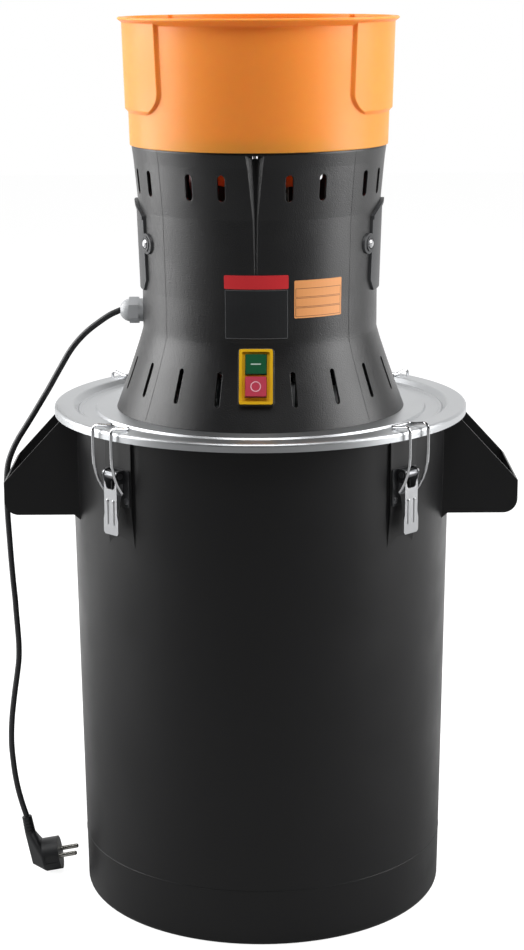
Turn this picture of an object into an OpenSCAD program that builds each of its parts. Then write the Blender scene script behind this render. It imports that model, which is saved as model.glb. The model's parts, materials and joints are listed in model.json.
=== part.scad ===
// Electric grain mill: a motor head with a feed hopper, latched onto a collecting bucket.
// Origin: centre of the bucket's underside. +Z up, the switch faces -Y. Sizes in millimetres.

/* [Bucket] */
// Outer radius of the bucket under its rim
bucket_r = 190.5; // [178:0.5:210]
// How much narrower the bucket is at its foot
bucket_taper = 6.5; // [2:0.5:12]
// Height of the rim above the floor
bucket_h = 505; // [440:1:560]
// Thickness of the bucket's wall and floor
bucket_wall = 3; // [2:0.5:5]
// Rounding where the wall turns into the floor
foot_round = 6; // [3:0.5:10]
// Depth of the recess in the underside
foot_recess = 2; // [1:0.5:3]
// Height of the moulded parting line
parting_h = 58; // [30:1:100]
// Thickness of the rim's outward lip
lip_t = 3; // [2:0.5:4]
// How far the rim's lip stands out
lip_w = 14.1; // [10:0.1:18]

/* [Handles] */
// Width of a handle over its two side plates
handle_w = 123; // [105:1:130]
// How far a handle stands out from the bucket's wall
handle_reach = 63.3; // [50:0.1:64]
// Height of a handle from its lower edge to the rim's lip
handle_h = 96.3; // [80:0.1:110]
// Height of the grip wall at the handle's outer end
grip_h = 33; // [25:0.5:45]
// Thickness of the handle's plates and grip wall
handle_wall = 3; // [2:0.5:5]
// Rounding of the grip wall's lower corner
grip_round = 14; // [6:1:20]

/* [Lid] */
// Gap between the rim's lip and the lid's skirt
skirt_gap = 1; // [0.5:0.1:2]
// Sheet thickness of the lid
lid_t = 1; // [0.8:0.1:1.5]
// Height of the lid's turned-down skirt
skirt_h = 8.3; // [6:0.1:12]
// Outer radius of the bend between the flat ring and the skirt
rim_bend = 3; // [2:0.1:4]
// Thickness of the seal between the rim and the lid
gasket_t = 2.6; // [1:0.1:4]
// Width of the flat ring around the lid
annulus_w = 19.6; // [17:0.1:22]
// Width of the pressed groove inside the flat ring
groove_w = 21; // [14:0.5:26]
// Depth of the groove below the flat ring
groove_drop = 5.6; // [3.6:0.1:8]
// Depth of the deck that carries the motor head below the flat ring
deck_drop = 3.6; // [2:0.1:5]

/* [Latches] */
// Distance of a latch from the front, measured around the bucket
latch_angle = 45; // [40:1:50]
// How far a flat latch pad stands out of the bucket's wall
pad_out = 1.5; // [1:0.5:3]
// Width of a latch pad
pad_w = 37; // [35:1:44]
// Height of the flat seat below the rim
pad_h = 74; // [66:1:80]
// Height over which the seat runs out to nothing
pad_fade = 46; // [30:1:60]
// Height of the lever's pivot below the rim
pivot_drop = 40; // [34:0.5:44]
// Distance of the lever's pivot from its pad
pivot_out = 6.8; // [6.5:0.1:9]
// Distance from the lever's pivot down to the bail's pivot
bail_arm = 17.5; // [15:0.5:20]
// Width of the lever over its side flanges
lever_w = 20.4; // [18:0.2:24]
// How much narrower the lever is at its upper end
lever_taper = 2.6; // [0:0.2:4]
// Length of the lever below its pivot
lever_len = 58; // [54:1:75]
// Thickness of the latch's sheet metal
latch_t = 1; // [0.8:0.1:1.2]
// Diameter of the bail's wire
wire_d = 3; // [2.5:0.1:3.4]
// Radius of the lever's pivot pin
pin_r = 2; // [1.5:0.1:2.5]
// How far a closed bail's hook reaches in over the lid from its edge
hook_reach = 19.2; // [16:0.1:19.6]

/* [Motor housing] */
// Turn of the motor head on the lid, seen from above
head_turn = -1.8; // [-6:0.1:6]
// Height of the hopper's outlet floor above the end of the motor shaft
throat_gap = 25; // [16:0.5:45]
// Outer radius of the flared foot
foot_r = 144; // [136:0.5:150]
// Outer radius of the waist
waist_r = 116.3; // [112:0.1:120]
// Outer radius of the collar under the hopper
collar_r = 124.9; // [120:0.1:126]
// Height of the flare
flare_h = 80; // [68:1:86]
// Wall of the housing
housing_wall = 3; // [2.5:0.1:4]
// Width of the upper vent slots
vent_w = 7.4; // [4:0.2:9]
// Length of the upper vent slots
vent_len = 24.8; // [16:0.2:28]
// Distance of the upper vent slots below the hopper
vent_drop = 21; // [14:0.5:28]
// Width of the flare's vent slots
low_vent_w = 5; // [3:0.1:7]
// Height of the flare's vent slots from their lower to their upper end
low_vent_len = 32.4; // [20:0.2:36]
// Height of the lower end of the flare's vent slots above the deck
low_vent_h = 21.8; // [16:0.1:28]
// Width of the screw flutes at the collar
flute_w = 20; // [14:0.5:22]
// Depth of the screw flutes at the collar
flute_d = 7; // [5:0.5:9]
// Length of the screw flutes
flute_len = 116; // [80:1:120]

/* [Hopper] */
// Height of the hopper above the housing
hopper_h = 121.3; // [90:0.1:160]
// Outer radius of the hopper's lower edge
hopper_r = 126.4; // [125:0.1:130]
// Wall of the hopper
hopper_wall = 3; // [2:0.1:4]
// How far the wall leans out for each millimetre of height
hopper_draft = 0.026; // [0:0.0005:0.05]
// How far the side panels stand out
panel_out = 3.1; // [1:0.1:4]
// Height of the side panels' lower edge above the hopper's lower edge
panel_h = 31.5; // [24:0.5:45]
// Width of a side panel
panel_w = 185; // [150:1:190]
// Radius of a side panel's lower corners
panel_round = 22; // [10:1:30]
// Width of the rim's outward lip on a panel
rim_lip = 3.8; // [2:0.1:6]
// Radius of the flat floor around the outlet
throat_r = 42; // [40:0.5:46]
// Depth of the outlet floor below the hopper's lower edge
throat_drop = 40; // [37:0.5:43]

/* [Feed gate and chute] */
// Thickness of the hopper's floor and of the gate disc
gate_t = 3; // [2:0.5:4]
// Half the angle of the outlet opening
gate_half = 42; // [30:1:46]
// Height of the gate's knob
knob_h = 16; // [10:1:24]
// Clear width of the chute
chute_w = 52; // [50:1:60]
// Clear depth of the chute
chute_d = 26; // [20:1:28]
// Wall of the chute
chute_wall = 2; // [1.5:0.5:3]
// Depth of the chute's bend below the hopper's throat
chute_bend = 66; // [58:1:80]

/* [Brush covers] */
// Thickness of a brush cover
cover_t = 2.3; // [1.6:0.1:3]
// How far a brush cover's raised edge stands out
cover_edge = 1.1; // [0.4:0.1:2]
// Width of a brush cover
cover_w = 94; // [80:1:96]
// Height of the cover's lower edge above the deck
cover_h0 = 120.5; // [112:0.5:124]
// Height of a brush cover
cover_len = 86; // [80:1:96]
// Radius of the screw bosses on the covers
cover_boss_r = 10; // [7.5:0.5:11]

/* [Switch] */
// Width of the switch bezel
bezel_w = 31.8; // [31:0.1:40]
// Height of the switch bezel
bezel_len = 52.4; // [52:0.1:60]
// How far the bezel's border stands out
bezel_t = 5; // [4:0.5:7]
// Width of the bezel's border
bezel_rim = 3; // [2:0.1:3.4]
// Height of the switch's centre above the deck
switch_h = 50.5; // [48:0.5:53]
// Width of both buttons
button_w = 20; // [16:0.1:22]
// Height of a button's face
button_len = 19.2; // [15:0.1:20]
// Travel of a button
button_travel = 3; // [2:0.5:4]

/* [Cable gland and cord] */
// Height of the gland's axis above the deck
gland_h = 95; // [92:0.5:100]
// Diameter of the gland's nut and flange
gland_d = 23; // [20:0.5:26]
// Length of the gland outside the housing
gland_len = 23.5; // [20:0.1:26]
// Diameter of the power cord
cord_d = 6; // [5:0.1:6.4]

/* [Motor] */
// Height of the stator above the lid's deck
pillar_h = 67; // [64:1:76]
// Outer radius of the stator
stator_r = 58; // [54:0.5:60]
// Height of the stator
stator_h = 50; // [40:1:54]
// Radius of the armature
armature_r = 31.4; // [28:0.1:34]
// Gap between the armature and the stator's poles
air_gap = 0.8; // [0.5:0.1:1.5]
// Radius of the motor shaft
shaft_r = 7.5; // [6:0.1:8]
// Radius of the commutator
commutator_r = 16; // [14:0.5:18]
// Length of the commutator
commutator_len = 30; // [26:1:34]
// Height of the brushes above the stator
brush_h = 47; // [44:1:56]
// Width of a carbon brush
brush_w = 8; // [6:0.5:10]
// Height of a carbon brush's section
brush_t = 11; // [8:0.5:13]
// Length of a carbon brush
brush_len = 24; // [18:1:30]
// Wall of the brush holders
holder_wall = 2; // [1.5:0.1:2.5]
// Height of the motor's ball bearings
bearing_h = 11; // [9:0.5:12]
// Radial width of the motor's ball bearings
bearing_w = 9.5; // [8:0.5:11]
// Height of the fan's blades
fan_h = 17; // [12:1:20]
// Width of the stator's poles and the brackets' arms
pole_w = 24; // [20:1:28]
// Width of a field coil
coil_w = 44; // [36:1:50]
// How far a field coil stands out above and below the stator
coil_end = 10; // [6:1:12]
// Radius of the suppressor capacitor
capacitor_r = 9; // [6:0.5:11]
// Length of the suppressor capacitor
capacitor_len = 36; // [24:1:40]
// Radius of the cooling fan
fan_r = 47; // [40:1:49]
// Radial running clearance of shafts and pins
fit = 0.05; // [0.02:0.01:0.09]

/* [Grinding chamber] */
// Inner radius of the sieve
sieve_r = 104; // [100:1:112]
// Height of the sieve
sieve_h = 58; // [52:1:64]
// Thickness of the sieve and its plate
sieve_t = 1.5; // [1:0.1:2]
// Radius that the grinding blade sweeps
blade_r = 92; // [80:1:98]
// Radius of the blade's hub
blade_hub_r = 20; // [16:1:24]
// Half width of the blade at its hub
blade_root = 15; // [12:0.5:17]
// Half width of the blade where its tip begins
blade_neck = 12; // [9:0.5:14]
// Length of the blade's slanted tip
blade_slant = 14; // [8:1:20]
// Thickness of the grinding blade
blade_t = 3; // [2:0.5:5]
// Height of the nut under the blade
nut_h = 9; // [7:0.5:12]

/* [Hidden] */
$fn = 96;
bucket_foot_r = bucket_r - bucket_taper;
lip_r = bucket_r + lip_w;
lid_r = lip_r + skirt_gap + lid_t;
lid_z = bucket_h + gasket_t + lid_t;
deck_z = lid_z - deck_drop;
annulus_r = lid_r - annulus_w;
groove_r = annulus_r - groove_w;
deck_r = groove_r + 1;
lip_z = bucket_h - lip_t;
handle_x = bucket_r + handle_reach;
handle_z = lip_z - handle_h;
pad_r = bucket_r + pad_out;
PIVOT = [pad_r + pivot_out, bucket_h - pivot_drop];
BAIL = PIVOT - [1.8, bail_arm];
bracket_t = 1.2;
wire_r = wire_d / 2;
flange_w = lever_w - lever_taper;
ear_at = flange_w / 2 + 0.8;
bail_t = flange_w / 2 + 2.6 + wire_r;
leg_r = lid_r + wire_r + 2.6;
HOOK = [lid_r - hook_reach, lid_z + wire_r + 0.1];
LATCH_ANGLES = [-latch_angle, latch_angle, 180 - latch_angle, latch_angle - 180];
rivet_r = 2;
foot_t = 6;
ledge_t = 2.6;
stator_z = deck_z + pillar_h;
stator_top = stator_z + stator_h;
brush_z = stator_top + brush_h;
upper_bearing_z = brush_z + commutator_len / 2 + 2;
shaft_top = upper_bearing_z + bearing_h + 3;
throat_z = shaft_top + throat_gap;
housing_z = throat_z + throat_drop;
hopper_z = housing_z + hopper_h;
cone_z = housing_z + 13;
flare_z = deck_z + flare_h;
belly_z = deck_z + 120;
shoulder_z = housing_z - 63;
band_z = housing_z - 14.5;
hopper_screw_r = min(collar_r - 3.9, hopper_r - 5.4);
FLUTE_ANGLES = [0, 120, 240];
housing_screw_r = foot_r - 13;
vent_z = housing_z - vent_drop - vent_len;
vent_angles = [15.2, 31.2, 58, 72.5, 105, 135, 150, 165];
low_vent_angles = [16, 35, 55, 74.5, 105.5, 125, 145, 164];
spindle_r = 4;
outlet_in = 13;
outlet_out = throat_r - 5;
chute_y = stator_r + 8;
cover_z0 = deck_z + cover_h0;
cover_screw_z = cover_z0 + 47;
boss_at = asin((cover_w / 2 + 4.5) / (waist_r + 4));
boss_turn = boss_at + 3;
boss_r = house_r(cover_screw_z) + cover_t + 0.9;
switch_z = deck_z + switch_h;
switch_tilt = atan((foot_r - waist_r) / flare_h);
switch_r = house_r(switch_z) + 0.9;
well_w = button_w + 3.6;
start_y = button_len / 2 + 2.1;
stop_y = -button_len / 2 - 0.3;
gland_z = deck_z + gland_h;
gland_x = waist_r - 0.8;
gland_end = gland_x + gland_len;
cord_r = cord_d / 2;
bore_r = armature_r + air_gap;
bearing_r = shaft_r + bearing_w;
lower_bearing_z = deck_z + 8;
holder_w = brush_w + 2 * holder_wall;
holder_t = brush_t + 2 * holder_wall;
bracket_r = stator_r + 4;
pillar_r = stator_r - 2;
spigot_r = 20;
capacitor_z = housing_z - capacitor_len - 30;
sieve_z = deck_z - lid_t - sieve_h;
stud_r = sieve_r + 7;
blade_z = sieve_z + 21;
CORD_ROUTE = [
    [-150, 4.5, 595], [-162, 5, 587], [-173, 5, 578.5], [-183, 5, 568.5], [-191.5, 5, 557.5],
    [-199, 5, 545], [-206, 5, 533], [-213.5, 5, 520], [-221.5, 5, 507], [-229.5, 5, 494],
    [-237.5, 5, 481.5], [-245.5, 5, 469], [-252, 5, 456.5], [-256.8, 5, 443], [-258.8, 5, 428.5],
    [-259.2, 5, 412.5], [-259.3, 5, 396], [-258.8, 5, 380], [-258.1, 5, 364], [-257.4, 5, 348],
    [-256.5, 4.5, 332], [-255.5, 4, 316], [-254.2, 3, 300], [-253.4, 2.5, 284], [-252.5, 2, 268],
    [-251.8, 1.5, 252], [-252.2, 1, 236], [-254.3, 1, 220], [-256.9, 1, 204], [-259.2, 0.5, 188],
    [-261.2, 0.5, 172], [-262.4, 0.5, 156], [-262.6, 0, 140], [-261.6, 0, 124], [-260, 0, 108],
    [-257.4, 0, 92], [-253.8, 0, 76.5]];
PLUG_AT = [-231.5, 0, 17.4];
plug_tilt = 10;

function house_r(z) =
    z < flare_z ? waist_r + (foot_r - waist_r) * pow(max(0, 1 - (z - deck_z) / flare_h), 1.1)
    : z < belly_z ? waist_r
    : waist_r + (collar_r - waist_r) * lookup(z, [[belly_z, 0], [shoulder_z, 0.27], [band_z, 0.78], [housing_z, 1]]);
function wall_r(z) = bucket_foot_r + (bucket_r - bucket_foot_r) * z / bucket_h;
function hop_r(z) = hopper_r + hopper_draft * (z - housing_z);
function arc(c, r, a0, a1, n = 8) =
    [for (i = [0:n]) c + r * [cos(a0 + (a1 - a0) * i / n), sin(a0 + (a1 - a0) * i / n)]];
function unit(v) = v / norm(v);
function turn(p, a) = [p[0] * cos(a) - p[1] * sin(a), p[0] * sin(a) + p[1] * cos(a), p[2]];
function plug_point(p) = PLUG_AT + [p[0] * cos(plug_tilt) - p[2] * sin(plug_tilt), p[1],
    p[0] * sin(plug_tilt) + p[2] * cos(plug_tilt)];
// The housing's outline from bottom to top, moved outwards by d.
function house_line(d) = concat(
    [for (i = [0:8]) let (z = deck_z + flare_h * i / 8) [house_r(z) + d, z]],
    [for (z = [belly_z, shoulder_z, band_z, housing_z - 2]) [house_r(z) + d, z]]);

module ring(r1, r2, z0, z1) {
    translate([0, 0, z0]) difference() {
        cylinder(r = r2, h = z1 - z0);
        translate([0, 0, -1]) cylinder(r = r1, h = z1 - z0 + 2);
    }
}

module in_head() rotate([0, 0, head_turn]) children();
// Turns what is drawn towards -Y to the angle a, seen from above and counted from the front.
module at_angle(a) rotate([0, 0, a]) children();
module around(angles) for (a = angles) rotate([0, 0, a]) children();
// Outlines in (radius, height) are thickened sideways by t, centred.
module side_plate(t, at = 0)
    rotate([90, 0, -90]) translate([0, 0, at - t / 2]) linear_extrude(t) children();
// Outlines in (sideways, height) are thickened outwards from radius r by t.
module front_plate(r, t) translate([0, -r, 0]) rotate([90, 0, 0]) linear_extrude(t) children();

module rounded(w, h, r) {
    square([w - 2 * r, h], center = true);
    square([w, h - 2 * r], center = true);
    for (x = [-1, 1], y = [-1, 1]) translate([x * (w / 2 - r), y * (h / 2 - r)]) circle(r, $fn = 24);
}

module stadium(w, z0, z1) {
    translate([-w / 2, z0 + w / 2]) square([w, z1 - z0 - w]);
    for (z = [z0 + w / 2, z1 - w / 2]) translate([0, z]) circle(w / 2, $fn = 24);
}

// A tube of n sides along the points, its end faces square to the directions d0 and d1.
module tube(points, r, d0, d1, n = 10) {
    m = len(points);
    dir = [for (i = [0:m - 1]) i == 0 ? unit(d0) : i == m - 1 ? unit(d1)
        : unit(points[i + 1] - points[i - 1])];
    side = [for (i = 0, v = unit(cross([0, 1, 0], dir[0])); i < m; i = i + 1,
        v = i < m ? unit(v - (v * dir[i]) * dir[i]) : v) v];
    rings = [for (i = [0:m - 1], k = [0:n - 1])
        points[i] + r * (cos(360 * k / n) * side[i] + sin(360 * k / n) * cross(dir[i], side[i]))];
    polyhedron(rings, concat([[for (k = [n - 1:-1:0]) k]],
        [for (i = [0:m - 2], k = [0:n - 1]) let (j = (k + 1) % n)
            [i * n + k, i * n + j, (i + 1) * n + j, (i + 1) * n + k]],
        [[for (k = [0:n - 1]) (m - 1) * n + k]]), convexity = 6);
}

module bucket_core(inset) rotate_extrude() polygon([[0, -1], [wall_r(0) - inset, -1],
    [wall_r(0) - inset, 0], [wall_r(bucket_h) - inset, bucket_h], [0, bucket_h]]);

module bucket_shell() {
    r0 = wall_r(0) - foot_round;
    rotate_extrude() polygon(concat(
        [[0, foot_recess], [r0 - 10, foot_recess], [r0 - 8, 0]],
        arc([r0, foot_round], foot_round, -90, 0),
        [[wall_r(parting_h), parting_h - 0.4], [wall_r(parting_h) + 0.35, parting_h],
        [wall_r(parting_h), parting_h + 0.4], [wall_r(lip_z), lip_z], [lip_r - 1, lip_z],
        [lip_r, lip_z + 1], [lip_r, bucket_h], [wall_r(bucket_h) - bucket_wall, bucket_h]],
        arc([r0 - bucket_wall, foot_recess + bucket_wall + foot_round], foot_round, 0, -90),
        [[0, foot_recess + bucket_wall + 1]]));
}

// A carrying handle: two side plates and a grip wall, open at the top and the bottom.
module handle() {
    x0 = wall_r(lip_z) + 2;
    side = sqrt(pow(wall_r(handle_z), 2) - pow(handle_w / 2, 2));
    in = side - bucket_wall;
    difference() {
        rotate([90, 0, 0]) translate([0, 0, -handle_w / 2]) linear_extrude(handle_w)
            polygon(concat([[in, lip_z], [x0 + 3, lip_z], [handle_x, handle_z + grip_h]],
                arc([handle_x - grip_round, handle_z + grip_round], grip_round, 0, -90),
                [[side + 6, handle_z], [side, handle_z - 5], [in, handle_z - 7]]));
        translate([in - 5, -handle_w / 2 + handle_wall, handle_z - 20])
            cube([handle_x - handle_wall - in + 5, handle_w - 2 * handle_wall, handle_h + 30]);
        ring(lip_r, handle_x, lid_z - skirt_h - 0.6, lip_z + 1);
    }
}

module latch_pad() side_plate(pad_w) let (z = lip_z - pad_h - pad_fade) polygon([[wall_r(0) - 20, z - 5],
    [wall_r(z) - 2, z], [pad_r, lip_z - pad_h], [pad_r, lip_z], [wall_r(0) - 20, lip_z]]);

module rivet_places() around(LATCH_ANGLES) for (t = [-1, 1])
    translate([t * (lever_w / 2 + 2.6), 0, PIVOT[1] - 25]) children();

module bucket() color("#202224") difference() {
    union() {
        bucket_shell();
        difference() {
            union() {
                handle();
                mirror([1, 0, 0]) handle();
                around(LATCH_ANGLES) latch_pad();
            }
            bucket_core(bucket_wall / 2);
        }
    }
    rivet_places() translate([0, -pad_r - 1, 0]) rotate([-90, 0, 0]) cylinder(r = rivet_r, h = 12, $fn = 24);
}

module lid_gasket() color("#26282a")
    ring(annulus_r + 2, lid_r - rim_bend - 0.5, bucket_h, bucket_h + gasket_t);

module screw_holes(n, at, r, from = 30) for (i = [0:n - 1])
    rotate([0, 0, from + 360 * i / n]) translate([0, -at, 0]) cylinder(r = r, h = 40, center = true, $fn = 24);

// The chute's outline, thickened along X to the width w and grown by the wall d.
module chute_block(w, d) rotate([90, 0, 90]) translate([0, 0, -w / 2]) linear_extrude(w) polygon([
    [outlet_in * cos(gate_half) - 0.5 - d, throat_z + (d > 0 ? 0 : 1)],
    [outlet_out + 1.5 + d, throat_z + (d > 0 ? 0 : 1)],
    [outlet_out + 1.5 + d, throat_z - 2.5 + d * 0.41],
    [chute_y + chute_d + d, throat_z - 2.5 - (chute_y + chute_d - outlet_out - 1.5) + d * 0.41],
    [chute_y + chute_d + d, deck_z - 3 - (d > 0 ? 0 : 1)], [chute_y - d, deck_z - 3 - (d > 0 ? 0 : 1)],
    [chute_y - d, throat_z - chute_bend - d * 0.41],
    [outlet_in * cos(gate_half) - 0.5 - d,
        throat_z - chute_bend + chute_y - outlet_in * cos(gate_half) + 0.5 - d * 0.41]]);

module lid() color("#c9ccce") difference() {
    t = lid_t;
    gz = lid_z - groove_drop;
    rotate_extrude() polygon(concat(
        [[lid_r, lid_z - skirt_h]], arc([lid_r - rim_bend, lid_z - rim_bend], rim_bend, 0, 90, 6),
        [[annulus_r + 1.5, lid_z], [annulus_r, lid_z - 0.7]],
        [for (k = [0, 1]) [annulus_r - 4 - 1.2 * k, gz + 0.5 + 0.8 * k]],
        [[annulus_r - 6.6, gz + 1.3], [annulus_r - 8.4, gz], [groove_r, gz], [groove_r - 1.5, deck_z],
        [spigot_r + 0.1, deck_z], [spigot_r + 0.1, deck_z - t], [groove_r - 2.1, deck_z - t],
        [groove_r - 0.6, gz - t], [annulus_r - 8, gz - t], [annulus_r - 6.2, gz + 1.3 - t],
        [annulus_r - 5.6, gz + 1.3 - t], [annulus_r - 4.4, gz + 0.4 - t], [annulus_r - 3.6, gz + 0.4 - t],
        [annulus_r + 0.6, lid_z - 0.7 - t], [annulus_r + 1.7, lid_z - t]],
        arc([lid_r - rim_bend, lid_z - rim_bend], rim_bend - t, 90, 0, 6), [[lid_r - t, lid_z - skirt_h]]));
    in_head() {
        translate([0, 0, deck_z]) {
            screw_holes(6, housing_screw_r, 2.5);
            screw_holes(4, bracket_r - 8, 3.2, 45);
            screw_holes(3, stud_r, 3, 0);
        }
        translate([-chute_w / 2 - chute_wall - 0.3, chute_y - chute_wall - 0.3, deck_z - 10])
            cube([chute_w + 2 * chute_wall + 0.6, chute_d + 2 * chute_wall + 0.6, 20]);
    }
}

module bracket_ear() difference() {
    union() {
        translate(PIVOT) circle(5);
        translate([pad_r + 0.5, PIVOT[1] - 8]) square([PIVOT[0] - pad_r - 0.5, 13]);
    }
    translate(PIVOT) circle(pin_r, $fn = 32);
}

module latch_bracket(i) color("#2a2c2e") at_angle(LATCH_ANGLES[i]) {
    difference() {
        front_plate(pad_r, bracket_t) translate([0, PIVOT[1] - 13]) rounded(pad_w - 3, 36, 2);
        for (t = [-1, 1]) translate([t * (lever_w / 2 + 2.6), -pad_r + 1, PIVOT[1] - 25])
            rotate([90, 0, 0]) cylinder(r = rivet_r, h = 5, $fn = 24);
    }
    for (s = [-1, 1]) side_plate(1, s * ear_at) bracket_ear();
}

module latch_pins() color("#7c8084") around(LATCH_ANGLES) rotate([90, 0, -90]) translate(PIVOT) {
    w = flange_w / 2;
    translate([0, 0, -w - 2.6]) cylinder(r = pin_r, h = 2 * w + 5.2, $fn = 32);
    translate([0, 0, -w + 1.4]) cylinder(r = pin_r + 2.2, h = 2 * w - 2.8, $fn = 32);
    for (s = [-1, 1]) translate([0, 0, s * (w + 2) - 0.7]) cylinder(r = pin_r + 0.9, h = 1.4, $fn = 32);
}

module latch_rivets() color("#9a9ea2") rivet_places() {
    inner = sqrt(pow(wall_r(PIVOT[1] - 25) - bucket_wall, 2) - pow(lever_w / 2 + 2.6, 2)) - 0.4;
    translate([0, -pad_r - bracket_t, 0]) rotate([-90, 0, 0])
        cylinder(r = rivet_r, h = pad_r + bracket_t - inner + 0.5, $fn = 24);
    translate([0, -pad_r - bracket_t, 0]) rotate([90, 0, 0]) cylinder(r1 = 3.4, r2 = 2.2, h = 1.1, $fn = 24);
    translate([0, -inner, 0]) rotate([-90, 0, 0]) cylinder(r1 = 3.4, r2 = 2.2, h = 1.1, $fn = 24);
}

module lever_side() {
    x1 = PIVOT[0] + 3.2;
    difference() {
        union() {
            translate(PIVOT) circle(5);
            translate(BAIL) circle(3.2);
            polygon([PIVOT - [5, 0], BAIL - [3.2, 0], BAIL - [1, 3], [x1 - latch_t, PIVOT[1] - 41],
                [x1, PIVOT[1] - 41], [x1, PIVOT[1] - 7], PIVOT + [4.6, -2]]);
        }
        translate(PIVOT) circle(pin_r + fit, $fn = 32);
        translate(BAIL) circle(wire_r + fit, $fn = 32);
    }
}

module latch_lever(i) color("#c3c6c9") at_angle(LATCH_ANGLES[i]) {
    z0 = PIVOT[1] - lever_len;
    z1 = PIVOT[1] - 7;
    zs = PIVOT[1] - 41;
    x1 = PIVOT[0] + 3.2;
    w0 = lever_w / 2;
    w1 = flange_w / 2;
    front_plate(x1 - latch_t, latch_t) difference() {
        polygon([[-w0 + 2, z0], [w0 - 2, z0], [w0, z0 + 2], [w0, zs - 3], [w1, zs + 3], [w1, z1],
            [-w1, z1], [-w1, zs + 3], [-w0, zs - 3], [-w0, z0 + 2]]);
        polygon([[-w1 + 1.5, z1 + 1], [w1 - 1.5, z1 + 1], [w1 - 3, z1 - 5], [w1 - 5, z1 - 6.5],
            [5 - w1, z1 - 6.5], [3 - w1, z1 - 5]]);
    }
    for (s = [-1, 1]) {
        side_plate(latch_t, s * (flange_w - latch_t) / 2) lever_side();
        translate([s * 4.2, -x1, z0 + 10]) {
            translate([0, 1.1, 0]) cylinder(r = 1.9, h = 23, $fn = 24);
            translate([0, 0.6, 23]) sphere(1.9, $fn = 24);
        }
    }
}

// Half of the bail's centre line in (radius, height, sideways), from its pivot to its hook.
function bail_half(s) = let (
    d = leg_r - BAIL[0], h = 36.4, big = (d * d + h * h) / (2 * d), a = asin(h / big),
    knee = [leg_r - big, BAIL[1] + h], bend = 2.2, go = [sin(a), cos(a)],
    turn_r = 4.6, top = HOOK[1] + 2.6) concat(
    [[BAIL[0], BAIL[1], s * (flange_w / 2 - latch_t - 0.4)]],
    [for (e = [0:30:90]) let (p = BAIL + bend * (1 - cos(e)) * go)
        [p[0], p[1], s * (bail_t - bend + bend * sin(e))]],
    [for (p = arc(knee, big, 6 - a, 0, 4)) [p[0], p[1], s * bail_t]],
    [for (p = arc([leg_r - turn_r, top - turn_r], turn_r, 0, 90, 4)) [p[0], p[1], s * bail_t]],
    [[HOOK[0] + 8, HOOK[1] + 0.5, s * bail_t]],
    [for (e = [0:30:90]) [HOOK[0] + 3 - 3 * sin(e), HOOK[1], s * (bail_t - 3 + 3 * cos(e))]]);

module latch_bail(i) color("#d2d4d6") at_angle(LATCH_ANGLES[i]) rotate([90, 0, -90]) {
    left = bail_half(-1);
    right = bail_half(1);
    tube(concat(left, [for (k = [len(right) - 1:-1:0]) right[k]]), wire_r, [0, 0, -1], [0, 0, -1], 12);
}

// A V-shaped groove for a screw: deep under the hopper, running out to nothing below.
module flutes(grow) around(FLUTE_ANGLES) {
    out = collar_r + 2;
    half = flute_w / 2 * (flute_d + 2) / flute_d + grow * 1.2;
    low = housing_z - flute_len - grow;
    tip = 2.8 + grow * 1.2;
    polyhedron([[-half, -out, housing_z], [half, -out, housing_z],
        [0, -collar_r + flute_d + grow * 1.4, housing_z], [0, -out, housing_z],
        [-tip, -house_r(low) - 1, low], [tip, -house_r(low) - 1, low],
        [0, -house_r(low) + 1 + grow * 1.4, low]],
        [[0, 2, 3], [3, 2, 1], [0, 4, 6, 2], [2, 6, 5, 1], [3, 1, 5, 4, 0], [4, 5, 6]]);
}

module vents() {
    for (a = vent_angles, s = [-1, 1]) at_angle(s * a)
        front_plate(collar_r - 20, 40) stadium(vent_w, vent_z, vent_z + vent_len);
    for (a = low_vent_angles, s = [-1, 1]) at_angle(s * a)
        front_plate(waist_r - 10, 60)
            stadium(low_vent_w, deck_z + low_vent_h, deck_z + low_vent_h + low_vent_len);
}

// The switch's own frame: its seat on the flare is the plane z = 0, z points out of the housing.
module at_switch() translate([0, -switch_r, switch_z]) rotate([90 - switch_tilt, 0, 0]) children();

// The gland's own frame: z points out of the housing along the gland's axis.
module at_gland() translate([0, 0, gland_z]) rotate([0, -90, 0]) children();

// The cover screws' frames: z = 0 is the boss's face, z points out of the housing.
module cover_screw_places(d) for (s = [-1, 1], b = [-1, 1]) if (d == 0 || d == s)
    translate([s * boss_r * cos(boss_at), b * boss_r * sin(boss_at), cover_screw_z])
        rotate([0, 0, s * b * boss_turn]) rotate([0, s * 90, 0]) children();

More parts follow.
